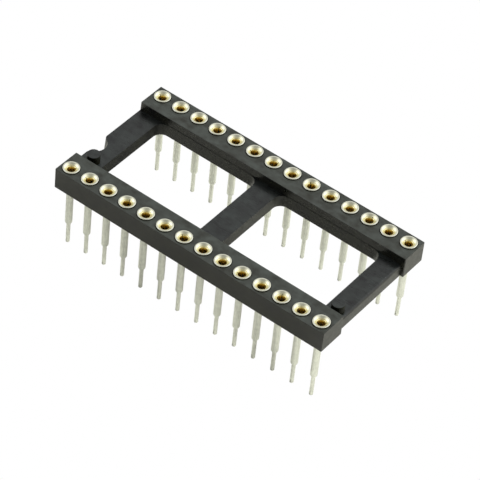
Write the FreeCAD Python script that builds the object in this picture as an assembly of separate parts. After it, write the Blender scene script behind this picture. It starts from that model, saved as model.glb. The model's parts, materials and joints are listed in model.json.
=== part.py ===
import FreeCAD, Part
import math
import os

V = FreeCAD.Vector

# Dual in-line socket with turned contacts and an open, raised frame.
# Millimetres. The origin is the centre of the pin pattern at the height where the pins' shoulders
# rest on a board. +X runs along the rows, away from the notched end. +Z is up.
# Contact 1 is at -X, -Y. The count runs along -Y towards +X and comes back along +Y.

# Contact pattern
PITCH = 2.54
PER_ROW = 14
ROW_SPACING = 15.24

# Moulded frame: its margins are from the contacts' centres to its ends and sides
END_MARGIN = 1.2
SIDE_MARGIN = 1.23
BODY_HEIGHT = 2.6
UNDERSIDE_Z = 5.4
RAIL_WIDTH = 3.45
RAIL_CORNER_R = 0.1
RAIL_EDGE_R = 0.05

# Cross bars, level with the frame's underside
BAR_HEIGHT = 1.5
MIDDLE_BAR_WIDTH = 2.9
END_BAR_WIDTH = 2.8
WINDOW_CORNER_R = 1.1
PLAIN_END_INSET = 0.38
PLAIN_END_EDGE_R = 0.3

# Notch with rounded lips, in the end bar beside contact 1
NOTCH_R = 1.3
NOTCH_BEYOND_END = 0.19
NOTCH_OFF_CENTRE = 1.95
NOTCH_LIP_R = 0.6

# Round bosses on the end bars, a narrow gap away from the front rail
BOSS_R = 0.73
BOSS_FROM_END = 1.5
BOSS_GAP = 0.37

# Turned sleeve: head, barrel, shank and tail
HEAD_R = 0.94
HEAD_PROUD = 0.15
HEAD_SUNK = 0.15
HEAD_EDGE = 0.06
HEAD_CLEARANCE = 0.03
BARREL_WALL = 0.17
BARREL_FLOOR = 0.25
SHANK_R = 0.4
NECK_LENGTH = 0.25
SHOULDER_LENGTH = 0.35
TAIL_R = 0.225
TAIL_LENGTH = 2.9
TAIL_TIP = 0.1

# Socket hole in the sleeve: countersunk mouth, bore for the clip and drilled hole for the lead
CLIP_BORE_R = 0.58
MOUTH_CHAMFER = 0.2
SHANK_WALL = 0.12
DRILL_BELOW_CLIP = 1.0
DRILL_POINT_DEG = 118.0

# Spring clip pressed into the sleeve
COLLAR_LENGTH = 0.28
COLLAR_LIP = 0.04
FUNNEL_TAPER = 0.18
CLIP_STOCK = 0.1
CLIP_FOOT_GAP = 0.16
GRIP_R = 0.2
GRIP_HEIGHT = 0.25
FINGER_FLARE = 0.05
FINGERS = 4
FINGER_GAP = 0.16
FINGER_ROOT = 0.12
SEAM = 0.08

# Two lengths that differ by less are the same
SAME = 1e-6

# Derived sizes and places
PATTERN_LENGTH = (PER_ROW - 1) * PITCH
BODY_END_X = PATTERN_LENGTH / 2 + END_MARGIN
BODY_SIDE_Y = ROW_SPACING / 2 + SIDE_MARGIN
RAIL_INNER_Y = BODY_SIDE_Y - RAIL_WIDTH
BODY_TOP = UNDERSIDE_Z + BODY_HEIGHT
BAR_TOP = UNDERSIDE_Z + BAR_HEIGHT
HEAD_TOP = BODY_TOP + HEAD_PROUD
HEAD_SEAT = BODY_TOP - HEAD_SUNK
BARREL_R = CLIP_BORE_R + BARREL_WALL
BARREL_END = UNDERSIDE_Z + NECK_LENGTH
DRILL_R = SHANK_R - SHANK_WALL
CLIP_TOP = HEAD_TOP - MOUTH_CHAMFER
CLIP_SEAT = BARREL_END + BARREL_FLOOR
CLIP_TIP = CLIP_SEAT + CLIP_FOOT_GAP
COLLAR_END = CLIP_TOP - COLLAR_LENGTH
FUNNEL_R = CLIP_BORE_R - FUNNEL_TAPER


def box(low, high):
    """Box between two opposite corners."""
    size = high - low
    return Part.makeBox(size.x, size.y, size.z, low)


def vertical_edges(shape):
    """Straight edges of a shape that run along Z."""
    found = []
    for edge in shape.Edges:
        start, end = edge.Vertexes[0].Point, edge.Vertexes[-1].Point
        if math.hypot(start.x - end.x, start.y - end.y) < SAME < abs(start.z - end.z):
            found.append(edge)
    return found


def level_edges(shape, z):
    """Edges of a shape that lie flat at one height."""
    return [e for e in shape.Edges if all(abs(v.Z - z) < SAME for v in e.Vertexes)]


def turned(profile):
    """Solid of revolution about Z from a closed outline of (radius, height) points."""
    points = [V(r, 0, z) for r, z in profile]
    outline = Part.makePolygon(points + points[:1])
    return Part.Face(outline).revolve(V(0, 0, 0), V(0, 0, 1), 360)


def rail(side):
    """One long rail that carries a row of contacts, with its corners and edges broken."""
    near, far = sorted((side * RAIL_INNER_Y, side * BODY_SIDE_Y))
    shape = box(V(-BODY_END_X, near, UNDERSIDE_Z), V(BODY_END_X, far, BODY_TOP))
    shape = shape.makeFillet(RAIL_CORNER_R, vertical_edges(shape))
    return shape.makeFillet(RAIL_EDGE_R, level_edges(shape, BODY_TOP))


def window(side):
    """Rounded opening between the middle bar and one end bar."""
    near, far = sorted((side * MIDDLE_BAR_WIDTH / 2, side * (BODY_END_X - END_BAR_WIDTH)))
    shape = box(V(near, -RAIL_INNER_Y, UNDERSIDE_Z), V(far, RAIL_INNER_Y, BAR_TOP))
    return shape.makeFillet(WINDOW_CORNER_R, vertical_edges(shape))


def notched_plate():
    """Plate between the rails, with a rounded plain end and the notch beside contact 1."""
    plain_end_x = BODY_END_X - PLAIN_END_INSET
    low = V(-BODY_END_X, -RAIL_INNER_Y, UNDERSIDE_Z)
    plate = box(low, V(plain_end_x, RAIL_INNER_Y, BAR_TOP))
    plain_edge = []
    for edge in level_edges(plate, BAR_TOP):
        if all(abs(v.X - plain_end_x) < SAME for v in edge.Vertexes):
            plain_edge.append(edge)
    plate = plate.makeFillet(PLAIN_END_EDGE_R, plain_edge)
    notch_at = V(-BODY_END_X - NOTCH_BEYOND_END, -NOTCH_OFF_CENTRE, UNDERSIDE_Z)
    plate = plate.cut(Part.makeCylinder(NOTCH_R, BAR_HEIGHT, notch_at))
    reach = math.sqrt(NOTCH_R ** 2 - NOTCH_BEYOND_END ** 2)
    lips = []
    for edge in vertical_edges(plate):
        at = edge.Vertexes[0].Point
        on_end = abs(at.x + BODY_END_X) < SAME
        if on_end and abs(abs(at.y + NOTCH_OFF_CENTRE) - reach) < SAME:
            lips.append(edge)
    return plate.makeFillet(NOTCH_LIP_R, lips)


def bars():
    """Three cross bars in one plate between the rails."""
    return notched_plate().cut([window(-1), window(1)])


def boss(side):
    """Round boss on an end bar, beside the front rail and level with its top."""
    from_rail = BOSS_R + BOSS_GAP
    at = V(side * (BODY_END_X - BOSS_FROM_END), from_rail - RAIL_INNER_Y, UNDERSIDE_Z)
    return Part.makeCylinder(BOSS_R, BODY_HEIGHT, at)


def contact_places():
    """Centres of the contacts, in the order of their numbers."""
    front = []
    for number in range(PER_ROW):
        front.append(V(number * PITCH - PATTERN_LENGTH / 2, -ROW_SPACING / 2, 0))
    back = [V(-p.x, -p.y, 0) for p in front]
    return front + back


def insulator(places):
    """The moulded frame, with a stepped hole for each sleeve."""
    shape = rail(-1).fuse([rail(1), bars(), boss(-1), boss(1)]).removeSplitter()
    holes = []
    for place in places:
        holes.append(Part.makeCylinder(BARREL_R, BODY_HEIGHT, place + V(0, 0, UNDERSIDE_Z)))
        seat_r = HEAD_R + HEAD_CLEARANCE
        holes.append(Part.makeCylinder(seat_r, HEAD_SUNK, place + V(0, 0, HEAD_SEAT)))
    return shape.cut(holes)


def sleeve():
    """One turned sleeve on the Z axis, drilled from the top."""
    drill_end = CLIP_SEAT - DRILL_BELOW_CLIP
    drill_tip = drill_end - DRILL_R / math.tan(math.radians(DRILL_POINT_DEG / 2))
    half_shoulder = SHOULDER_LENGTH / 2
    return turned([
        (CLIP_BORE_R + MOUTH_CHAMFER, HEAD_TOP),
        (HEAD_R - HEAD_EDGE, HEAD_TOP),
        (HEAD_R, HEAD_TOP - HEAD_EDGE),
        (HEAD_R, HEAD_SEAT),
        (BARREL_R, HEAD_SEAT),
        (BARREL_R, BARREL_END),
        (SHANK_R, UNDERSIDE_Z),
        (SHANK_R, half_shoulder),
        (TAIL_R, -half_shoulder),
        (TAIL_R, -TAIL_LENGTH + TAIL_TIP),
        (TAIL_R - TAIL_TIP, -TAIL_LENGTH),
        (0, -TAIL_LENGTH),
        (0, drill_tip),
        (DRILL_R, drill_end),
        (DRILL_R, CLIP_SEAT),
        (CLIP_BORE_R, CLIP_SEAT),
        (CLIP_BORE_R, CLIP_TOP),
    ])


def finger_gap(angle):
    """Upright cutter for the gap between two fingers, turned about the clip's axis."""
    low = V(0, -FINGER_GAP / 2, CLIP_TIP)
    cutter = box(low, V(CLIP_BORE_R, FINGER_GAP / 2, COLLAR_END - FINGER_ROOT))
    cutter.rotate(V(0, 0, 0), V(0, 0, 1), angle)
    return cutter


def clip():
    """One spring clip on the Z axis: a rolled collar with a funnel, a seam and tapering fingers."""
    grip_z = CLIP_TIP + GRIP_HEIGHT
    body = turned([
        (CLIP_BORE_R - COLLAR_LIP, CLIP_TOP),
        (CLIP_BORE_R, CLIP_TOP),
        (CLIP_BORE_R, COLLAR_END),
        (FUNNEL_R + CLIP_STOCK, COLLAR_END),
        (GRIP_R + CLIP_STOCK, grip_z),
        (GRIP_R + CLIP_STOCK + FINGER_FLARE, CLIP_TIP),
        (GRIP_R + FINGER_FLARE, CLIP_TIP),
        (GRIP_R, grip_z),
        (FUNNEL_R, COLLAR_END),
    ])
    turn = 360 / FINGERS
    gaps = [finger_gap(turn * (i + 0.5)) for i in range(FINGERS)]
    seam = box(V(0, -SEAM / 2, CLIP_TIP), V(2 * CLIP_BORE_R, SEAM / 2, CLIP_TOP))
    seam.rotate(V(0, 0, 0), V(0, 0, 1), turn / 2)
    return body.cut(gaps + [seam])


def export(shape, name):
    """Write one checked solid to its own file."""
    if not shape.isValid() or len(shape.Solids) != 1:
        raise ValueError(name + " isn't one valid solid")
    shape.Solids[0].exportStep("parts/" + name + ".step")


def main():
    os.makedirs("parts", exist_ok=True)
    places = contact_places()
    export(insulator(places), "insulator_body")
    one_sleeve, one_clip = sleeve(), clip()
    for number, place in enumerate(places, 1):
        for shape, name in ((one_sleeve, "pin_sleeve"), (one_clip, "contact_clip")):
            copy = shape.copy()
            copy.translate(place)
            export(copy, name + "_%02d" % number)


main()
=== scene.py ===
import json
import math
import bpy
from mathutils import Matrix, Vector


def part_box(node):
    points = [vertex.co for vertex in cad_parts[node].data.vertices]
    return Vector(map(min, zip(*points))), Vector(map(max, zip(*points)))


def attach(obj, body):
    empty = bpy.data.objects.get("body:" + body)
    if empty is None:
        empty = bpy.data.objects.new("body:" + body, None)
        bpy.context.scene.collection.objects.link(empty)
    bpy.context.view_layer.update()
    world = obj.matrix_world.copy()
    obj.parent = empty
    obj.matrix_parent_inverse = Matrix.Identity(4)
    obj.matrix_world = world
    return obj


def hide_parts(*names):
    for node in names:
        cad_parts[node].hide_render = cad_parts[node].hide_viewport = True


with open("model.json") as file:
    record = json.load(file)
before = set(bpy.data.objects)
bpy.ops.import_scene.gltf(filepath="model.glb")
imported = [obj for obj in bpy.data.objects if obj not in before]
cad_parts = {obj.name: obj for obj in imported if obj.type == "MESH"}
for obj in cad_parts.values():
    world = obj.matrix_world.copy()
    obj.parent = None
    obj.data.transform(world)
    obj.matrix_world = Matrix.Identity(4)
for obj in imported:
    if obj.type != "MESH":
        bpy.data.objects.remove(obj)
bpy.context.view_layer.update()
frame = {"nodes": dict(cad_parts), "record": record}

from types import SimpleNamespace

import bmesh
import bpy
from bpy.props import FloatProperty, FloatVectorProperty, IntProperty, PointerProperty
from bpy.types import Operator, Panel, PropertyGroup
from mathutils import Matrix, Vector

bl_info = {
    "name": "Turned-pin IC socket",
    "version": (1, 0, 0),
    "blender": (4, 5, 0),
    "location": "View3D > Sidebar > IC socket",
    "description": "Moulded frame, turned sleeves and spring clips of a dual in-line socket",
    "category": "Add Mesh",
}

# Pieces are modelled in millimetres, and each finished mesh is brought down to metres.
MM = 0.001
# Two lengths in millimetres that differ by less are the same.
SAME = 1e-3
BODY = "root"

# How far a cutter reaches past the frame and over the bars' tops, in millimetres
PAST, OVER_BARS = 1.0, 0.5
# Degrees between two faces: over SHARP their edge may be rounded, under SMOOTH it is shaded smooth,
# and under FLAT the faces are merged
SHARP, SMOOTH, FLAT = 25.0, 28.0, 0.1
# Facets round a plain drum, a sleeve or clip, and the notch, and round one corner of a window
DRUM_SIDES, PIECE_SIDES, NOTCH_SIDES, WINDOW_SEGMENTS = 64, 48, 96, 12
# Degrees that each pressed-in clip is turned further than the last, so that no two stand alike
CLIP_TURN = 137.5


def box_mm(node):
    """Lowest and highest corner of a packed node, to a hundredth of a millimetre."""
    corners = []
    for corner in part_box(node):
        corners.append(Vector([round(value / MM, 2) for value in corner]))
    return corners


def nodes_named(start):
    """Packed nodes of one kind, in the order of their numbers."""
    return sorted(name for name in frame["nodes"] if name.startswith(start))


# Places and sizes that the packed frame gives
FRAME_NODE = "insulator_body"
SLEEVE_NODES = nodes_named("pin_sleeve_")
CLIP_NODES = nodes_named("contact_clip_")
MOUNTS = {mount["name"]: mount["dims"] for mount in frame["record"]["mounts"]}

FRAME_LOW, FRAME_HIGH = box_mm(FRAME_NODE)
END_X, SIDE_Y, FRAME_TOP = FRAME_HIGH
UNDERSIDE = FRAME_LOW.z
SLEEVE_LOW, SLEEVE_HIGH = box_mm(SLEEVE_NODES[0])
TAIL_END, HEAD_TOP = SLEEVE_LOW.z, SLEEVE_HIGH.z
HEAD_R = (SLEEVE_HIGH.x - SLEEVE_LOW.x) / 2
CLIP_LOW, CLIP_HIGH = box_mm(CLIP_NODES[0])
CLIP_TIP, CLIP_TOP = CLIP_LOW.z, CLIP_HIGH.z
BORE_R = MOUNTS["lead_holes_1"]["hole_r_mm"]
TAIL_R = MOUNTS["board_pins_1"]["stud_r_mm"]


def length(name, description, millimetres):
    """A property that holds a length, with its default given in millimetres."""
    return FloatProperty(
        name=name, description=description, default=millimetres * MM,
        min=0.0, precision=6, unit="LENGTH",
    )


def angle(name, description, degrees):
    """A property that holds an angle, with its default given in degrees."""
    return FloatProperty(
        name=name, description=description, default=math.radians(degrees), unit="ROTATION",
    )


def colour(name, description, value):
    """A property that holds a colour."""
    return FloatVectorProperty(
        name=name, description=description, default=value,
        size=3, min=0.0, max=1.0, subtype="COLOR",
    )


def factor(name, description, value):
    """A property that holds a share from nothing to all."""
    return FloatProperty(
        name=name, description=description, default=value, min=0.0, max=1.0, subtype="FACTOR",
    )


def strength(name, description, value):
    """A property that holds a plain number, such as how strong a light is."""
    return FloatProperty(name=name, description=description, default=value, min=0.0)


class SocketFrameSizes(PropertyGroup):
    """Sizes of the moulded frame."""

    rail_width: length("Rail width", "Across one long rail", 3.45)
    bar_height: length("Bar height", "Height of the cross bars", 1.5)
    middle_bar: length("Middle bar", "Width of the middle cross bar", 2.9)
    end_bar: length("End bar", "Width of the end cross bars", 2.8)
    plain_inset: length("Plain end inset", "How far the plain end's bar stands back", 0.38)
    plain_edge_r: length("Plain end edge", "Radius along the top edge of the plain end's bar", 0.3)
    window_r: length("Window corner", "Radius of the windows' corners", 1.1)
    corner_r: length("Rail corner", "Radius of the rails' upright corners", 0.1)
    edge_r: length("Rail edge", "Radius along the rails' top edges", 0.05)
    break_r: length("Broken edge", "Radius of the other moulded edges", 0.04)
    notch_r: length("Notch", "Radius of the notch", 1.3)
    notch_beyond: length("Notch beyond end", "How far the notch's centre is beyond the end", 0.19)
    notch_off: length("Notch off centre", "How far the notch is off the centre line", 1.95)
    lip_r: length("Notch lip", "Radius of the notch's lips", 0.6)
    notch_draft: length("Notch draft", "How much less the notch's radius is underneath", 0.14)
    boss_r: length("Boss", "Radius of the round bosses", 0.73)
    boss_from_end: length("Boss from end", "From the frame's end to a boss's centre", 1.5)
    boss_gap: length("Boss gap", "Gap between a boss and the front rail", 0.37)
    head_gap: length("Head gap", "Gap round a sleeve's head in the frame", 0.03)
    line_above: length("Parting line above bars", "From the bars' tops to the parting line", 0.06)
    line_height: length("Parting line height", "Height of the parting line", 0.1)
    line_depth: length("Parting line depth", "Depth of the parting line in the rails' walls", 0.05)


class SocketSleeveSizes(PropertyGroup):
    """Sizes of one turned sleeve."""

    head_height: length("Head height", "Height of the round head", 0.3)
    head_edge: length("Head edge", "Bevel round the head", 0.035)
    mouth: length("Mouth", "Bevel of the mouth", 0.2)
    barrel_wall: length("Barrel wall", "Wall round the clip's bore", 0.17)
    barrel_floor: length("Barrel floor", "Floor under the clip's bore", 0.25)
    neck: length("Neck", "Length of the neck below the barrel", 0.25)
    shank_r: length("Shank", "Radius of the thick shank", 0.4)
    shank_wall: length("Shank wall", "Wall round the drilled hole", 0.12)
    shoulder: length("Shoulder", "Length of the tapered shoulder", 0.35)
    tail_tip: length("Tail tip", "Bevel of the tail's tip", 0.1)
    drill_below: length("Drill below clip", "How far the drilled hole goes on below the clip", 1.0)
    drill_point: angle("Drill point", "Full angle of the drill's point", 118.0)
    rounding: length("Rounding", "Radius on the turned edges", 0.02)
    sides: IntProperty(
        name="Sides", description="Facets round each sleeve and its hole",
        default=PIECE_SIDES, min=12)


class SocketClipSizes(PropertyGroup):
    """Sizes of one spring clip."""

    collar: length("Collar", "Length of the rolled collar", 0.28)
    lip: length("Lip", "Thickness of the collar", 0.05)
    stock: length("Stock", "Thickness of the fingers", 0.1)
    taper: length("Taper", "How far the funnel closes along the collar", 0.20)
    lead_in: length("Lead-in", "Bevel inside the collar's lip", 0.09)
    grip_r: length("Grip", "Radius between the fingers where they close", 0.2)
    grip_height: length("Grip height", "From the fingers' tips to where they close", 0.75)
    flare: length("Flare", "How far the tips open again", 0.05)
    gap: length("Finger gap", "Gap between two fingers", 0.16)
    root: length("Finger root", "From the collar to the start of a gap", 0.12)
    seam: length("Seam", "Gap where the rolled sheet meets", 0.08)
    fingers: IntProperty(name="Fingers", description="Fingers on each clip", default=4, min=2)


class SocketFinish(PropertyGroup):
    """Colours and roughness of the surfaces."""

    plastic: colour("Plastic", "Moulded frame", (0.0004, 0.0006, 0.0006))
    plastic_pale: colour("Pale plastic", "Flow marks on upright faces", (0.0060, 0.0064, 0.0030))
    # Painted shading: the bars' tops are painted paler than the upright faces, as if lit from
    # above, and darker than the rails' tops, as shade on the sunken bars; their flow marks are real
    plastic_bars_marks_and_shading: colour("Bars' plastic", "Flow marks and painted shading on the bars' tops", (0.0120, 0.0150, 0.0135))
    # Painted light: the rails' tops are painted paler than the upright faces and the bars, as if
    # lit from above; their flow marks are real
    plastic_rails_marks_and_light: colour("Plastic lit on rails", "Tops of the rails, painted paler as lit", (0.0285, 0.0335, 0.0285))
    plastic_ior: strength("Plastic IOR", "Refraction of the frame's skin", 1.45)
    plastic_rough: factor("Plastic roughness", "Roughness of the rails and ends", 0.42)
    bars_rough: factor("Bars roughness", "Roughness of the bars' smoother tops", 0.29)
    inner_rough: factor("Inner roughness", "Roughness of the rails' smooth inner walls", 0.28)
    middle_rough: factor("Middle roughness", "Roughness of the middle bar's walls", 0.50)
    window_rough: factor("Window roughness", "Roughness of the end bars' window walls", 0.80)
    boss_shine: factor("Boss shine", "Mirroring of the bosses' dull walls, 0.5 being usual", 0.08)
    tin: colour("Tin", "Matt plating on the sleeves", (0.70, 0.71, 0.65))
    tin_face: colour("Tin face", "Turned faces of the heads", (0.71, 0.71, 0.59))
    # Painted reflection: the mouths are painted warmer and paler towards the bore, as the gold
    # clips mirrored in them
    tin_mouth_gold_reflection: colour("Tin mouth", "Bevelled mouths, warm beside the clips", (0.80, 0.78, 0.55))
    tin_rough: factor("Tin roughness", "Roughness of the plating on the shanks", 0.50)
    face_rough: factor("Face roughness", "Roughness of the plating on the heads", 0.24)
    gold: colour("Gold", "Plating on the clips' collars", (0.74, 0.68, 0.39))
    # Painted shade: the fingers' gold is painted darker and more saturated, as the shade and
    # bounced light deep inside the sleeve
    gold_fingers_painted_shade: colour("Deep gold", "Plating on the clips' fingers", (0.68, 0.52, 0.16))
    gold_rough: factor("Gold roughness", "Roughness of the clips", 0.28)


class SocketStage(PropertyGroup):
    """The camera, the floor and the light."""

    azimuth: angle("Azimuth", "Camera's direction round the socket", 33.39)
    elevation: angle("Elevation", "Camera's height over the horizon", 44.73)
    roll: angle("Roll", "Turn of the picture about its centre", 6.46)
    distance: length("Distance", "From the camera to the middle of the heads", 293.45)
    aside: length("Aside", "How far the camera stands to the right", 0.094)
    drop: length("Drop", "How far the camera stands down", 3.733)
    focal: length("Focal length", "Lens on a sensor 36 mm wide", 210.49)
    floor: colour("Floor", "Pale table under the socket", (0.62, 0.62, 0.55))
    floor_seen: strength("Floor seen", "How bright the floor is to the camera itself", 1.0)
    sky: strength("Sky", "Light from overhead and from behind", 0.86)
    left_side: strength("Left side", "Light at the picture's left, against overhead", 2.2)
    right_side: strength("Right side", "Light at the picture's right, against overhead", 2.0)
    camera_side: strength("Camera's side", "Light on the camera's side, against overhead", 0.5)
    key_azimuth: angle("Key azimuth", "Direction of the large soft lamp round the socket", 146.8)
    key_elevation: angle("Key elevation", "Height of the large soft lamp over the horizon", 40.0)
    key_distance: length("Key distance", "From the lamp to the socket", 500.0)
    key_size: length("Key size", "Side of the lamp's square face", 160.0)
    key_power: strength("Key power", "Power of the lamp in watts", 4.4)


GROUPS = {
    "socket_frame": SocketFrameSizes,
    "socket_sleeve": SocketSleeveSizes,
    "socket_clip": SocketClipSizes,
    "socket_finish": SocketFinish,
    "socket_stage": SocketStage,
}


def sizes_mm(group):
    """The lengths of a property group in millimetres, and its other values as they are."""
    values = {}
    for name, shown in group.bl_rna.properties.items():
        if name not in ("rna_type", "name"):
            value = getattr(group, name)
            values[name] = value / MM if shown.unit == "LENGTH" else value
    return SimpleNamespace(**values)


# Modelling, in millimetres


def clear_selection():
    """Leave edit mode and select nothing, so that the next operator acts on one thing."""
    if bpy.context.mode != "OBJECT":
        bpy.ops.object.mode_set(mode="OBJECT")
    bpy.ops.object.select_all(action="DESELECT")


def make_active(obj):
    """Select one object alone and make it the active one."""
    clear_selection()
    obj.select_set(True)
    bpy.context.view_layer.objects.active = obj


def settle():
    """Put the active object's place, turn and scale into its mesh."""
    bpy.ops.object.transform_apply(location=True, rotation=True, scale=True)
    return bpy.context.object


def add_block(low, high):
    """Box between two opposite corners."""
    clear_selection()
    low, high = Vector(low), Vector(high)
    bpy.ops.mesh.primitive_cube_add(size=1, location=(low + high) / 2, scale=high - low)
    return settle()


def add_drum(radius, place, low, high, sides=DRUM_SIDES):
    """Upright cylinder on a place."""
    clear_selection()
    middle = (place[0], place[1], (low + high) / 2)
    bpy.ops.mesh.primitive_cylinder_add(
        vertices=sides, radius=radius, depth=high - low, location=middle)
    return settle()


def choose(kind, test):
    """In edit mode, select only the vertices, edges or faces that pass the test."""
    bpy.ops.mesh.select_mode(type=kind)
    bpy.ops.mesh.select_all(action="DESELECT")
    obj = bpy.context.edit_object
    shape = bmesh.from_edit_mesh(obj.data)
    shape.normal_update()
    items = {"VERT": shape.verts, "EDGE": shape.edges, "FACE": shape.faces}[kind]
    found = [item for item in items if test(item)]
    if not found:
        raise RuntimeError("nothing to select on " + obj.name)
    for item in found:
        item.select_set(True)
    shape.select_flush_mode()
    bmesh.update_edit_mesh(obj.data)


def near(a, b):
    """Whether two lengths are the same."""
    return abs(a - b) < SAME


def is_upright(edge):
    """Whether an edge runs along Z."""
    a, b = (v.co for v in edge.verts)
    return near(a.x, b.x) and near(a.y, b.y)


def is_level(edge, height):
    """Whether both ends of an edge are at one height."""
    return all(near(v.co.z, height) for v in edge.verts)


def is_sharp(edge):
    """Whether two faces meet at an edge in an outward corner."""
    return edge.is_convex and edge.calc_face_angle(0) > math.radians(SHARP)


def round_edges(obj, test, radius, segments=3):
    """Round the edges that pass the test."""
    make_active(obj)
    bpy.ops.object.mode_set(mode="EDIT")
    choose("EDGE", test)
    bpy.ops.mesh.bevel(
        offset=radius, offset_type="OFFSET", segments=segments, profile=0.5,
        affect="EDGES", clamp_overlap=True)
    bpy.ops.object.mode_set(mode="OBJECT")


def combine(obj, others, operation):
    """Cut the others from a piece with DIFFERENCE, or add them to it with UNION."""
    for other in others:
        make_active(obj)
        change = obj.modifiers.new("combine", "BOOLEAN")
        change.operation = operation
        change.solver = "EXACT"
        change.object = other
        bpy.ops.object.modifier_apply(modifier=change.name)
        bpy.data.objects.remove(other)
    return obj


def merge_flat(obj):
    """Merge faces that lie in one plane, and points that lie in one place."""
    make_active(obj)
    bpy.ops.object.mode_set(mode="EDIT")
    bpy.ops.mesh.select_all(action="SELECT")
    bpy.ops.mesh.remove_doubles(threshold=SAME)
    bpy.ops.mesh.dissolve_limited(angle_limit=math.radians(FLAT))
    bpy.ops.object.mode_set(mode="OBJECT")


def grow(name, rings, tips=None, sides=PIECE_SIDES):
    """A round piece on the Z axis, extruded ring by ring from (radius, height) stations.

    tips are the heights on the axis that close the first and the last ring. Without them the last
    ring is joined to the first.
    """
    clear_selection()
    radius, height = rings[0]
    bpy.ops.mesh.primitive_circle_add(vertices=sides, radius=radius, location=(0, 0, height))
    obj = settle()
    obj.name = name
    bpy.ops.object.mode_set(mode="EDIT")
    bpy.ops.mesh.select_mode(type="EDGE")
    bpy.ops.mesh.select_all(action="SELECT")
    for (r0, z0), (r1, z1) in zip(rings, rings[1:]):
        bpy.ops.mesh.extrude_edges_move(TRANSFORM_OT_translate={"value": (0, 0, z1 - z0)})
        bpy.ops.transform.resize(value=(r1 / r0, r1 / r0, 1), center_override=(0, 0, z1))
    if tips:
        for (r, z), tip in zip((rings[0], rings[-1]), tips):
            choose("EDGE", lambda edge: on_ring(edge, r, z))
            bpy.ops.mesh.extrude_edges_move(TRANSFORM_OT_translate={"value": (0, 0, tip - z)})
            bpy.ops.mesh.merge(type="CENTER")
    else:
        ends = (rings[0], rings[-1])
        choose("EDGE", lambda edge: any(on_ring(edge, r, z) for r, z in ends))
        bpy.ops.mesh.bridge_edge_loops()
    bpy.ops.mesh.select_all(action="SELECT")
    bpy.ops.mesh.normals_make_consistent(inside=False)
    bpy.ops.object.mode_set(mode="OBJECT")
    return obj


def on_ring(edge, radius, height):
    """Whether an edge lies on one ring of a round piece."""
    return all(
        near(v.co.z, height) and near(math.hypot(v.co.x, v.co.y), radius) for v in edge.verts)


def round_rings(obj, rings, radius):
    """Round the given rings of a round piece."""
    round_edges(obj, lambda edge: any(on_ring(edge, r, z) for r, z in rings), radius)


def finish_mesh(obj):
    """Bring a piece down to metres and give it smooth shading between its sharp edges."""
    make_active(obj)
    obj.scale = (MM, MM, MM)
    settle()
    bpy.ops.object.shade_smooth_by_angle(angle=math.radians(SMOOTH))
    weighted = obj.modifiers.new("weighted", "WEIGHTED_NORMAL")
    weighted.keep_sharp = True
    bpy.ops.object.modifier_apply(modifier=weighted.name)


def wear(obj, material):
    """Give a piece one material."""
    obj.data.materials.clear()
    obj.data.materials.append(material)


def stand_for(obj, node):
    """Let a piece ride on the body and stand for one packed node."""
    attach(obj, BODY)
    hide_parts(node)


def set_out(model, nodes, names, turn_deg=0.0):
    """Copy a piece on the Z axis to the place of each node, and clear the model away.

    Each copy is turned a little further about its own axis than the last.
    """
    for number, (node, name) in enumerate(zip(nodes, names)):
        low, high = box_mm(node)
        middle = (low + high) / 2
        copy = bpy.data.objects.new(name, model.data.copy())
        copy.data.name = name
        bpy.context.scene.collection.objects.link(copy)
        turn = Matrix.Rotation(math.radians(turn_deg * number), 4, "Z")
        shift = Matrix.Translation(Vector((middle.x, middle.y, 0)) * MM)
        copy.data.transform(shift @ turn)
        stand_for(copy, node)
    bpy.data.objects.remove(model)


# Moulded frame


def inner_wall(size):
    """How far the rails' inner walls are from the centre line."""
    return SIDE_Y - size.rail_width


def bars_top(size):
    """Height of the cross bars' tops."""
    return UNDERSIDE + size.bar_height


def boss_place(size, side):
    """Centre of the round boss at one end."""
    return side * (END_X - size.boss_from_end), size.boss_r + size.boss_gap - inner_wall(size)


def channel(size):
    """Two rails and the floor between them, with the plain end's bar set back."""
    inner_y = inner_wall(size)
    bar_top = bars_top(size)
    body = add_block((-END_X, -SIDE_Y, UNDERSIDE), (END_X, SIDE_Y, bar_top))
    bpy.ops.object.mode_set(mode="EDIT")
    for y in (-inner_y, inner_y):
        bpy.ops.mesh.select_all(action="SELECT")
        bpy.ops.mesh.bisect(plane_co=(0, y, 0), plane_no=(0, 1, 0))
    choose("FACE", lambda face: (
        near(face.normal.z, 1) and abs(face.calc_center_median().y) > inner_y))
    bpy.ops.mesh.extrude_region_move(
        TRANSFORM_OT_translate={"value": (0, 0, FRAME_TOP - bar_top)})
    bpy.ops.object.mode_set(mode="OBJECT")
    merge_flat(body)
    inset = add_block(
        (END_X - size.plain_inset, -inner_y, UNDERSIDE - PAST),
        (END_X + PAST, inner_y, bar_top + OVER_BARS))
    combine(body, [inset], "DIFFERENCE")
    merge_flat(body)
    return body


def window_cutter(size, side):
    """Rounded cutter for the window on one side of the middle bar."""
    inner_y = inner_wall(size)
    near_x, far_x = sorted((side * size.middle_bar / 2, side * (END_X - size.end_bar)))
    cutter = add_block(
        (near_x, -inner_y, UNDERSIDE - PAST), (far_x, inner_y, bars_top(size) + OVER_BARS))
    round_edges(cutter, is_upright, size.window_r, segments=WINDOW_SEGMENTS)
    return cutter


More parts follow.
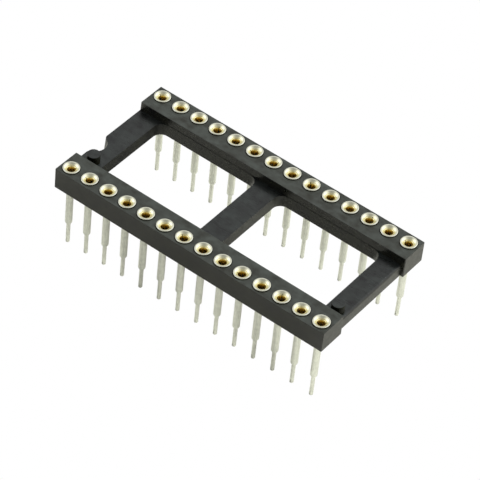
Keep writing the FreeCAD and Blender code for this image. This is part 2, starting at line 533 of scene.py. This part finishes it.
def notch_cutter(size):
    """Cutter for the notch, with draft. A hollow on each side leaves the bar a rounded lip."""
    bar_top = bars_top(size)
    low, high = UNDERSIDE - PAST, bar_top + OVER_BARS
    centre_x = -END_X - size.notch_beyond
    lip_x = -END_X + size.lip_r
    between = size.notch_r + size.lip_r
    lip_y = math.sqrt(between ** 2 - (lip_x - centre_x) ** 2)
    touch_x = centre_x + (lip_x - centre_x) * size.notch_r / between
    cutter = add_block(
        (-END_X - PAST, -size.notch_off - lip_y, low), (touch_x, -size.notch_off + lip_y, high))
    lips = []
    for side in (-1, 1):
        place = (lip_x, -size.notch_off + side * lip_y)
        lips.append(add_drum(size.lip_r, place, low - PAST, high + PAST))
    combine(cutter, lips, "DIFFERENCE")
    notch = add_drum(size.notch_r, (centre_x, -size.notch_off), low, high, sides=NOTCH_SIDES)
    combine(cutter, [notch], "UNION")
    make_active(cutter)
    bpy.ops.object.mode_set(mode="EDIT")
    slope = size.notch_draft / size.bar_height
    for end in (low, high):
        choose("VERT", lambda vert: near(vert.co.z, end))
        share = 1 + slope * (end - bar_top) / size.notch_r
        bpy.ops.transform.resize(
            value=(share, share, 1), center_override=(centre_x, -size.notch_off, end))
    bpy.ops.object.mode_set(mode="OBJECT")
    return cutter


def boss(size, side):
    """Round boss with a broken top edge, a narrow gap away from the front rail."""
    drum = add_drum(size.boss_r, boss_place(size, side), UNDERSIDE, FRAME_TOP)
    round_edges(drum, lambda edge: is_level(edge, FRAME_TOP), size.break_r, segments=2)
    return drum


def parting_line(size, side):
    """Cutter for the fine line that the mould leaves along one rail's inner wall."""
    inner_y = inner_wall(size)
    low, high = sorted((side * (inner_y - PAST), side * (inner_y + size.line_depth)))
    reach = END_X - size.end_bar
    foot = bars_top(size) + size.line_above
    return add_block((-reach, low, foot), (reach, high, foot + size.line_height))


def hole_cutters(size, sleeve):
    """One stepped cutter for each sleeve, with both ends of the hole broken."""
    head_seat = HEAD_TOP - sleeve.head_height
    seat_r = HEAD_R + size.head_gap
    barrel_r = BORE_R + sleeve.barrel_wall
    edge = size.break_r
    cutter = grow("hole", [
        (seat_r + edge * 2, FRAME_TOP + edge),
        (seat_r, FRAME_TOP - edge),
        (seat_r, head_seat),
        (barrel_r, head_seat),
        (barrel_r, UNDERSIDE + edge),
        (barrel_r + edge * 2, UNDERSIDE - edge),
    ], tips=(FRAME_TOP + edge, UNDERSIDE - edge), sides=sleeve.sides)
    cutters = []
    for node in SLEEVE_NODES:
        low, high = box_mm(node)
        copy = bpy.data.objects.new("hole", cutter.data.copy())
        bpy.context.scene.collection.objects.link(copy)
        copy.location = ((low.x + high.x) / 2, (low.y + high.y) / 2, 0)
        cutters.append(copy)
    bpy.data.objects.remove(cutter)
    make_active(cutters[0])
    for copy in cutters:
        copy.select_set(True)
    bpy.ops.object.join()
    return [settle()]


def model_frame(size, sleeve):
    """The whole moulded frame."""
    bar_top = bars_top(size)
    body = channel(size)
    round_edges(body, lambda edge: is_upright(edge) and is_sharp(edge), size.corner_r, segments=4)
    round_edges(body, lambda edge: is_level(edge, FRAME_TOP) and is_sharp(edge), size.edge_r)
    plain_x = END_X - size.plain_inset
    round_edges(
        body,
        lambda edge: is_level(edge, bar_top) and all(near(v.co.x, plain_x) for v in edge.verts),
        size.plain_edge_r, segments=4)
    openings = [window_cutter(size, -1), window_cutter(size, 1), notch_cutter(size)]
    combine(body, openings, "DIFFERENCE")
    merge_flat(body)
    round_edges(
        body,
        lambda edge: is_sharp(edge) and (is_level(edge, UNDERSIDE) or is_level(edge, bar_top)),
        size.break_r, segments=2)
    combine(body, [parting_line(size, -1), parting_line(size, 1)], "DIFFERENCE")
    combine(body, [boss(size, -1), boss(size, 1)], "UNION")
    combine(body, hole_cutters(size, sleeve), "DIFFERENCE")
    return body


class SOCKET_OT_frame(Operator):
    """Model the moulded frame with its rails, bars, windows, notch, bosses and stepped holes"""

    bl_idname = "socket.frame"
    bl_label = "Moulded frame"

    def execute(self, context):
        scene = context.scene
        size = sizes_mm(scene.socket_frame)
        body = model_frame(size, sizes_mm(scene.socket_sleeve))
        finish_mesh(body)
        body.name = "moulded_frame"
        wear(body, plastic_material(scene.socket_finish, size))
        stand_for(body, FRAME_NODE)
        return {"FINISHED"}


# Turned sleeves


def model_sleeve(size):
    """One turned sleeve on the Z axis."""
    drill_r = size.shank_r - size.shank_wall
    barrel_r = BORE_R + size.barrel_wall
    barrel_end = UNDERSIDE + size.neck
    clip_seat = barrel_end + size.barrel_floor
    drill_end = clip_seat - size.drill_below
    drill_tip = drill_end - drill_r / math.tan(size.drill_point / 2)
    head_seat = HEAD_TOP - size.head_height
    mouth = (BORE_R + size.mouth, HEAD_TOP)
    face = (HEAD_R - size.head_edge, HEAD_TOP)
    brim = (HEAD_R, HEAD_TOP - size.head_edge)
    brim_foot = (HEAD_R, head_seat)
    barrel_foot = (barrel_r, barrel_end)
    neck_foot = (size.shank_r, UNDERSIDE)
    shank_foot = (size.shank_r, size.shoulder / 2)
    tail_top = (TAIL_R, -size.shoulder / 2)
    tail_edge = (TAIL_R, TAIL_END + size.tail_tip)
    tail_foot = (TAIL_R - size.tail_tip, TAIL_END)
    sleeve = grow("sleeve", [
        (drill_r, drill_end), (drill_r, clip_seat), (BORE_R, clip_seat), (BORE_R, CLIP_TOP),
        mouth, face, brim, brim_foot, (barrel_r, head_seat), barrel_foot, neck_foot,
        shank_foot, tail_top, tail_edge, tail_foot,
    ], tips=(drill_tip, TAIL_END), sides=size.sides)
    round_rings(sleeve, [mouth, face, brim, brim_foot, barrel_foot], size.rounding)
    round_rings(sleeve, [shank_foot, tail_top, tail_edge, neck_foot], size.rounding * 2)
    return sleeve


def keep_own_place(obj):
    """Store each point's place from the piece's own axis, for patterns that go round it."""
    own = obj.data.attributes.new("own_place", "FLOAT_VECTOR", "POINT")
    for point, value in zip(obj.data.vertices, own.data):
        value.vector = point.co


class SOCKET_OT_sleeves(Operator):
    """Model one turned sleeve and set out a copy at each contact"""

    bl_idname = "socket.sleeves"
    bl_label = "Turned sleeves"

    def execute(self, context):
        scene = context.scene
        sleeve = model_sleeve(sizes_mm(scene.socket_sleeve))
        finish_mesh(sleeve)
        keep_own_place(sleeve)
        wear(sleeve, tin_material(scene.socket_finish))
        names = ["turned_sleeve_%02d" % n for n in range(1, len(SLEEVE_NODES) + 1)]
        set_out(sleeve, SLEEVE_NODES, names)
        return {"FINISHED"}


# Spring clips


def slot_cutter(width, low, high, turn):
    """Upright cutter through one wall of the clip, turned about its axis."""
    cutter = add_block((0.0, -width / 2, low), (BORE_R * 2, width / 2, high))
    cutter.rotation_euler.z = turn
    return settle()


def model_clip(size):
    """One spring clip on the Z axis: a rolled collar, a funnel and fingers that close and flare."""
    collar_end = CLIP_TOP - size.collar
    funnel_r = BORE_R - size.taper
    grip_z = CLIP_TIP + size.grip_height
    lip = (BORE_R - size.lip, CLIP_TOP)
    brim = (BORE_R, CLIP_TOP)
    lead_in = (BORE_R - size.lip - size.lead_in, CLIP_TOP - size.lead_in)
    throat = (funnel_r, collar_end)
    clip = grow("clip", [
        lip, brim, (BORE_R, collar_end), (funnel_r + size.stock, collar_end),
        (size.grip_r + size.stock, grip_z),
        (size.grip_r + size.stock + size.flare, CLIP_TIP), (size.grip_r + size.flare, CLIP_TIP),
        (size.grip_r, grip_z), throat, lead_in,
    ])
    round_rings(clip, [throat, lead_in], size.stock / 4)
    # A little less than half the lip, so that its two roundings don't meet
    round_rings(clip, [lip, brim], size.lip * 0.45)
    step = 2 * math.pi / size.fingers
    cutters = []
    for finger in range(size.fingers):
        turn = step * (finger + 0.5)
        cutters.append(slot_cutter(size.gap, CLIP_TIP - PAST, collar_end - size.root, turn))
    cutters.append(slot_cutter(size.seam, CLIP_TIP - PAST, CLIP_TOP + PAST, step / 2))
    return combine(clip, cutters, "DIFFERENCE")


class SOCKET_OT_clips(Operator):
    """Model one spring clip and set out a copy in each sleeve"""

    bl_idname = "socket.clips"
    bl_label = "Spring clips"

    def execute(self, context):
        scene = context.scene
        size = sizes_mm(scene.socket_clip)
        clip = model_clip(size)
        finish_mesh(clip)
        wear(clip, gold_material(scene.socket_finish, CLIP_TOP - size.collar))
        names = ["spring_clip_%02d" % n for n in range(1, len(CLIP_NODES) + 1)]
        set_out(clip, CLIP_NODES, names, turn_deg=CLIP_TURN)
        return {"FINISHED"}


# Materials

# The part of a noise's values that is used, for faint, clear and strong contrast
FAINT, CLEAR, STRONG = (0.3, 0.7), (0.35, 0.65), (0.36, 0.64)
# How squarely a face looks along an axis, from 0 to 1: a face turns from one finish to another
# between these values, SQUARE for faces that look that way and SLANTED for those that don't
SQUARE, SLANTED = (0.6, 0.95), (0.3, 0.6)
# Where a range node has its limits, and where a mix node has its two colours and its result
RANGE_LIMITS = ("From Min", "From Max", "To Min", "To Max")
FIRST_COLOUR, SECOND_COLOUR, MIXED_COLOUR = 6, 7, 2


class Finish:
    """A material under construction: its nodes, and short ways to add and join them."""

    def __init__(self, name):
        self.material = bpy.data.materials.new(name)
        self.material.use_nodes = True
        self.tree = self.material.node_tree
        self.shader = self.tree.nodes["Principled BSDF"]

    def add(self, kind, **settings):
        """Add a node, with its own settings."""
        node = self.tree.nodes.new(kind)
        for name, value in settings.items():
            setattr(node, name, value)
        return node

    def join(self, start, end):
        """Lead one socket to another."""
        self.tree.links.new(start, end)

    def places(self, scale=(1.0, 1.0, 1.0)):
        """Object coordinates, stretched by a scale."""
        coordinates = self.add("ShaderNodeTexCoord")
        mapping = self.add("ShaderNodeMapping")
        mapping.inputs["Scale"].default_value = scale
        self.join(coordinates.outputs["Object"], mapping.inputs["Vector"])
        return mapping.outputs["Vector"]

    def axis(self, name):
        """Place along one axis of the socket, in metres."""
        parts = self.add("ShaderNodeSeparateXYZ")
        self.join(self.places(), parts.inputs["Vector"])
        return parts.outputs[name]

    def facing(self, name):
        """How squarely the surface faces along one axis, either way, from 0 to 1."""
        parts = self.add("ShaderNodeSeparateXYZ")
        self.join(self.add("ShaderNodeNewGeometry").outputs["Normal"], parts.inputs["Vector"])
        return self.math("ABSOLUTE", parts.outputs[name])

    def noise(self, vector, size_mm, detail=3.0, rough=0.55):
        """Noise whose blobs are about a given size."""
        noise = self.add("ShaderNodeTexNoise")
        noise.inputs["Scale"].default_value = 1 / (size_mm * MM)
        noise.inputs["Detail"].default_value = detail
        noise.inputs["Roughness"].default_value = rough
        self.join(vector, noise.inputs["Vector"])
        return noise.outputs["Fac"]

    def math(self, operation, first, second=0.0):
        """Combine two values, or change one. Each is a number or a socket."""
        node = self.add("ShaderNodeMath", operation=operation)
        for socket, value in zip(node.inputs, (first, second)):
            if isinstance(value, bpy.types.NodeSocket):
                self.join(value, socket)
            else:
                socket.default_value = value
        return node.outputs["Value"]

    def ranged(self, value, low, high, out_low, out_high):
        """Bring a value from one range to another."""
        change = self.add("ShaderNodeMapRange")
        for name, number in zip(RANGE_LIMITS, (low, high, out_low, out_high)):
            change.inputs[name].default_value = number
        self.join(value, change.inputs["Value"])
        return change.outputs["Result"]

    def mixed(self, share, first, second):
        """Mix two colours by a share. Each is a colour or a socket."""
        mix = self.add("ShaderNodeMix", data_type="RGBA")
        self.join(share, mix.inputs["Factor"])
        for place, value in ((FIRST_COLOUR, first), (SECOND_COLOUR, second)):
            socket = mix.inputs[place]
            if isinstance(value, bpy.types.NodeSocket):
                self.join(value, socket)
            else:
                socket.default_value = (*value, 1.0)
        return mix.outputs[MIXED_COLOUR]

    def bump(self, height, strength, depth_mm, under=None):
        """Bump from a height, over another bump."""
        bump = self.add("ShaderNodeBump")
        bump.inputs["Strength"].default_value = strength
        bump.inputs["Distance"].default_value = depth_mm * MM
        self.join(height, bump.inputs["Height"])
        if under:
            self.join(under, bump.inputs["Normal"])
        return bump.outputs["Normal"]

    def own(self):
        """Distance from the piece's own axis and height, in metres."""
        own = self.add("ShaderNodeAttribute", attribute_name="own_place")
        parts = self.add("ShaderNodeSeparateXYZ")
        self.join(own.outputs["Vector"], parts.inputs["Vector"])
        flat = self.add("ShaderNodeCombineXYZ")
        self.join(parts.outputs["X"], flat.inputs["X"])
        self.join(parts.outputs["Y"], flat.inputs["Y"])
        reach = self.add("ShaderNodeVectorMath", operation="LENGTH")
        self.join(flat.outputs["Vector"], reach.inputs[0])
        return reach.outputs["Value"], parts.outputs["Z"]


def frame_areas(made, size):
    """How much a point belongs to each area of the frame, from 0 to 1."""
    inner_y = inner_wall(size)
    window_x = END_X - size.end_bar + size.window_r / 4
    boss_x, boss_y = boss_place(size, 1)
    # In millimetres: the rails' finish sets in over blend, and the bosses' reaches out by margin.
    blend, margin = 0.04, 0.05
    across = made.math("ABSOLUTE", made.axis("Y"))
    rail = made.ranged(across, inner_y * MM, (inner_y + blend) * MM, 0.0, 1.0)
    inside = made.ranged(rail, 0.0, 1.0, 1.0, 0.0)
    along = made.math("ABSOLUTE", made.axis("X"))
    middle = made.math("MULTIPLY", inside, made.math("LESS_THAN", along, window_x / 2 * MM))
    windows = made.math("MULTIPLY", inside, made.math("LESS_THAN", along, window_x * MM))
    from_boss = made.math(
        "MAXIMUM",
        made.math("ABSOLUTE", made.math("SUBTRACT", along, boss_x * MM)),
        made.math("ABSOLUTE", made.math("SUBTRACT", made.axis("Y"), boss_y * MM)))
    boss_walls = made.math(
        "MULTIPLY", made.math("LESS_THAN", from_boss, (size.boss_r + margin) * MM),
        made.ranged(made.facing("Z"), *SLANTED, 1.0, 0.0))
    return SimpleNamespace(
        rail=rail, inside=inside, middle=middle, boss_walls=boss_walls,
        end_walls=made.math("SUBTRACT", windows, middle))


def plastic_material(finish, size):
    """Black glass-filled plastic: clouded by flow marks and grainy, with painted light that makes
    the faces that look up paler than the upright ones, palest on the rails.
    """
    made = Finish("black_plastic")
    cloud = made.noise(made.places(), size_mm=1.3, detail=4.0, rough=0.6)
    flow = made.noise(made.places((0.3, 1.0, 1.0)), size_mm=0.45, detail=4.0, rough=0.65)
    grain = made.noise(made.places(), size_mm=0.055, detail=2.0, rough=0.6)
    blend = made.math("ADD", made.math("MULTIPLY", cloud, 0.65), made.math("MULTIPLY", flow, 0.35))
    marks = made.ranged(blend, *STRONG, 0.0, 1.0)
    areas = frame_areas(made, size)
    # Painted light: faces that look up take paler colours than the upright faces, palest on the
    # rails' tops and less pale on the sunken bars' tops, which carry painted shade; the flow marks
    # in each are real
    upright = made.mixed(marks, finish.plastic, finish.plastic_pale)
    bars = made.mixed(marks, finish.plastic, finish.plastic_bars_marks_and_shading)
    rail_tops_marks_and_light = made.mixed(marks, finish.plastic_pale, finish.plastic_rails_marks_and_light)
    tops = made.mixed(areas.rail, bars, rail_tops_marks_and_light)
    upward = made.ranged(made.facing("Z"), *SQUARE, 0.0, 1.0)
    made.join(made.mixed(upward, upright, tops), made.shader.inputs["Base Color"])
    made.shader.inputs["IOR"].default_value = finish.plastic_ior
    shine = made.shader.inputs["Specular IOR Level"]
    made.join(
        made.ranged(areas.boss_walls, 0.0, 1.0, shine.default_value, finish.boss_shine), shine)
    usual = finish.plastic_rough
    rough = made.ranged(flow, *FAINT, usual - 0.05, usual + 0.06)
    for area, axis, its_rough in (
            (areas.inside, "Z", finish.bars_rough),
            (areas.inside, "Y", finish.inner_rough),
            (areas.middle, "X", finish.middle_rough),
            (areas.end_walls, "X", finish.window_rough)):
        change = made.ranged(made.facing(axis), *SQUARE, 0.0, its_rough - usual)
        rough = made.math("ADD", rough, made.math("MULTIPLY", area, change))
    made.join(rough, made.shader.inputs["Roughness"])
    under = made.bump(flow, strength=0.5, depth_mm=0.012)
    fine = made.bump(grain, strength=0.25, depth_mm=0.006, under=under)
    made.join(fine, made.shader.inputs["Normal"])
    return made.material


def tin_material(finish):
    """Matt tin over turned brass: fine rings, a cloudy grey-beige shank and a creamier head."""
    made = Finish("tin_plating")
    reach, height = made.own()
    rings = made.add("ShaderNodeTexNoise", noise_dimensions="1D")
    rings.inputs["Scale"].default_value = 1 / (0.045 * MM)
    rings.inputs["Detail"].default_value = 3.0
    made.join(made.math("ADD", reach, height), rings.inputs["W"])
    cloud = made.noise(made.places(), size_mm=0.5, detail=4.0)
    spots = made.noise(made.places(), size_mm=0.06, detail=2.0)
    # The head's finish sets in from its foot, 0.3 mm below its top.
    top = made.ranged(height, (HEAD_TOP - 0.3) * MM, (HEAD_TOP - 0.2) * MM, 0.0, 1.0)
    darker = tuple(value * 0.84 for value in finish.tin)
    body = made.mixed(made.ranged(cloud, *CLEAR, 0.0, 1.0), darker, finish.tin)
    # Painted reflection of the gold clip: the mouth's bevel turns from the face's colour to a
    # warmer, paler one towards the bore
    mouth = made.ranged(reach, BORE_R * MM, (HEAD_R - 0.1) * MM, 0.0, 1.0)
    head = made.mixed(mouth, finish.tin_mouth_gold_reflection, finish.tin_face)
    made.join(made.mixed(top, body, head), made.shader.inputs["Base Color"])
    rough = made.math("ADD", made.ranged(top, 0.0, 1.0, finish.tin_rough, finish.face_rough),
                      made.ranged(cloud, *FAINT, -0.06, 0.06))
    made.join(rough, made.shader.inputs["Roughness"])
    under = made.bump(rings.outputs["Fac"], strength=0.3, depth_mm=0.004)
    fine = made.bump(spots, strength=0.25, depth_mm=0.003, under=under)
    made.join(fine, made.shader.inputs["Normal"])
    made.shader.inputs["Metallic"].default_value = 1.0
    return made.material


def gold_material(finish, throat):
    """Gold plating on rolled spring sheet: pale on the collar, and below it finely drawn and
    painted deeper, as shade inside the sleeve.
    """
    made = Finish("gold_plating")
    lines = made.noise(made.places((1.0, 1.0, 0.08)), size_mm=0.03, detail=2.0)
    cloud = made.noise(made.places(), size_mm=0.25, detail=3.0)
    warmer = (finish.gold[0] * 0.96, finish.gold[1] * 0.93, finish.gold[2] * 0.85)
    collar = made.mixed(made.ranged(cloud, *CLEAR, 0.0, 1.0), warmer, finish.gold)
    above = made.ranged(made.axis("Z"), throat * MM, (CLIP_TOP - 0.08) * MM, 0.0, 1.0)
    # Painted shade: below the collar the gold turns darker and more saturated, as shade deep in the
    # sleeve
    made.join(made.mixed(above, finish.gold_fingers_painted_shade, collar), made.shader.inputs["Base Color"])
    made.join(
        made.ranged(cloud, *FAINT, finish.gold_rough - 0.05, finish.gold_rough + 0.07),
        made.shader.inputs["Roughness"])
    made.join(made.bump(lines, strength=0.06, depth_mm=0.001), made.shader.inputs["Normal"])
    made.shader.inputs["Metallic"].default_value = 1.0
    return made.material


# Stage

# Width of the camera's sensor in millimetres
SENSOR = 36.0
# How near and how far the camera sees, and the side of the floor, in metres
NEAREST, FARTHEST, FLOOR_SIDE = 0.01, 10.0, 3.0


def direction(azimuth, elevation):
    """Direction out from the socket. Azimuth 0 is towards -Y and 90 degrees towards +X."""
    level = math.cos(elevation)
    return Vector((math.sin(azimuth) * level, -math.cos(azimuth) * level, math.sin(elevation)))


def camera_axes(stage):
    """Directions to the picture's right, to its top and back from what the camera looks at."""
    back = direction(stage.azimuth, stage.elevation)
    level = Vector((0, 0, 1)).cross(back).normalized()
    upward = back.cross(level)
    right = level * math.cos(stage.roll) + upward * math.sin(stage.roll)
    up = upward * math.cos(stage.roll) - level * math.sin(stage.roll)
    return right, up, back


def add_camera(stage):
    """Camera at the photograph's viewing angle."""
    right, up, back = camera_axes(stage)
    place = Vector((0, 0, HEAD_TOP * MM)) + back * stage.distance
    place += right * stage.aside - up * stage.drop
    clear_selection()
    bpy.ops.object.camera_add()
    camera = bpy.context.object
    camera.name = "photo_camera"
    turn = Matrix((right, up, back)).transposed().to_4x4()
    camera.matrix_world = Matrix.Translation(place) @ turn
    camera.data.sensor_width = SENSOR
    camera.data.lens = stage.focal / MM
    camera.data.clip_start = NEAREST
    camera.data.clip_end = FARTHEST
    bpy.context.scene.camera = camera


def add_floor(stage):
    """Pale floor under the tips of the tails, plain white where the camera itself sees it."""
    clear_selection()
    bpy.ops.mesh.primitive_plane_add(size=FLOOR_SIDE, location=(0, 0, TAIL_END * MM))
    floor = settle()
    floor.name = "pale_floor"
    made = Finish("pale_floor")
    made.shader.inputs["Base Color"].default_value = (*stage.floor, 1.0)
    made.shader.inputs["Roughness"].default_value = 0.9
    made.shader.inputs["Specular IOR Level"].default_value = 0.0
    bleached = made.add("ShaderNodeEmission")
    bleached.inputs["Strength"].default_value = stage.floor_seen
    seen = made.add("ShaderNodeLightPath").outputs["Is Camera Ray"]
    mix = made.add("ShaderNodeMixShader")
    made.join(seen, mix.inputs[0])
    made.join(made.shader.outputs["BSDF"], mix.inputs[1])
    made.join(bleached.outputs["Emission"], mix.inputs[2])
    made.join(mix.outputs["Shader"], made.tree.nodes["Material Output"].inputs["Surface"])
    wear(floor, made.material)


def add_key(stage):
    """Large soft lamp over the far right corner of the table."""
    towards = direction(stage.key_azimuth, stage.key_elevation)
    clear_selection()
    bpy.ops.object.light_add(
        type="AREA", location=towards * stage.key_distance,
        rotation=towards.to_track_quat("Z", "Y").to_euler())
    lamp = bpy.context.object
    lamp.name = "soft_key"
    lamp.visible_glossy = False
    lamp.data.shape = "SQUARE"
    lamp.data.size = stage.key_size
    lamp.data.energy = stage.key_power


def add_sky(stage):
    """Soft white light from all round, stronger at both sides and weaker on the photographer's."""
    world = bpy.data.worlds.new("studio")
    bpy.context.scene.world = world
    world.use_nodes = True
    tree = world.node_tree
    background = tree.nodes["Background"]
    background.inputs["Color"].default_value = (1.0, 1.0, 1.0, 1.0)
    outward = tree.nodes.new("ShaderNodeTexCoord").outputs["Generated"]
    right, _, back = camera_axes(stage)
    total = None
    # Each row is a direction, the two cosines to it between which the light changes, and the light
    # outside and inside them.
    for axis, numbers in (
            (back, (0.2, 0.95, stage.sky, stage.sky * stage.camera_side)),
            (right, (0.1, 0.80, 1.0, stage.right_side)),
            (-right, (0.4, 0.95, 1.0, stage.left_side))):
        towards = tree.nodes.new("ShaderNodeVectorMath")
        towards.operation = "DOT_PRODUCT"
        towards.inputs[1].default_value = axis
        tree.links.new(outward, towards.inputs[0])
        change = tree.nodes.new("ShaderNodeMapRange")
        change.interpolation_type = "SMOOTHSTEP"
        for name, number in zip(RANGE_LIMITS, numbers):
            change.inputs[name].default_value = number
        tree.links.new(towards.outputs["Value"], change.inputs["Value"])
        if total is None:
            total = change.outputs["Result"]
        else:
            product = tree.nodes.new("ShaderNodeMath")
            product.operation = "MULTIPLY"
            tree.links.new(total, product.inputs[0])
            tree.links.new(change.outputs["Result"], product.inputs[1])
            total = product.outputs["Value"]
    tree.links.new(total, background.inputs["Strength"])


class SOCKET_OT_stage(Operator):
    """Set up the camera, the pale floor and the soft light"""

    bl_idname = "socket.stage"
    bl_label = "Camera, floor and light"

    def execute(self, context):
        stage = context.scene.socket_stage
        add_camera(stage)
        add_floor(stage)
        add_key(stage)
        add_sky(stage)
        context.scene.view_settings.view_transform = "Standard"
        return {"FINISHED"}


class SOCKET_PT_panel(Panel):
    """Buttons that make the socket, and the values that they use"""

    bl_idname = "SOCKET_PT_panel"
    bl_label = "IC socket"
    bl_space_type = "VIEW_3D"
    bl_region_type = "UI"
    bl_category = "IC socket"

    def draw(self, context):
        layout = self.layout
        for operator in OPERATORS:
            layout.operator(operator.bl_idname)
        for name, group in GROUPS.items():
            box = layout.box()
            box.label(text=group.__doc__)
            values = getattr(context.scene, name)
            for value in group.__annotations__:
                box.prop(values, value)


OPERATORS = (SOCKET_OT_frame, SOCKET_OT_sleeves, SOCKET_OT_clips, SOCKET_OT_stage)
CLASSES = (*GROUPS.values(), *OPERATORS, SOCKET_PT_panel)


def register():
    for cls in CLASSES:
        bpy.utils.register_class(cls)
    for name, group in GROUPS.items():
        setattr(bpy.types.Scene, name, PointerProperty(type=group))


def unregister():
    for name in GROUPS:
        delattr(bpy.types.Scene, name)
    for cls in reversed(CLASSES):
        bpy.utils.unregister_class(cls)


def main():
    """Make the socket and its stage."""
    register()
    bpy.ops.socket.frame()
    bpy.ops.socket.sleeves()
    bpy.ops.socket.clips()
    bpy.ops.socket.stage()


if __name__ == "__main__":
    main()
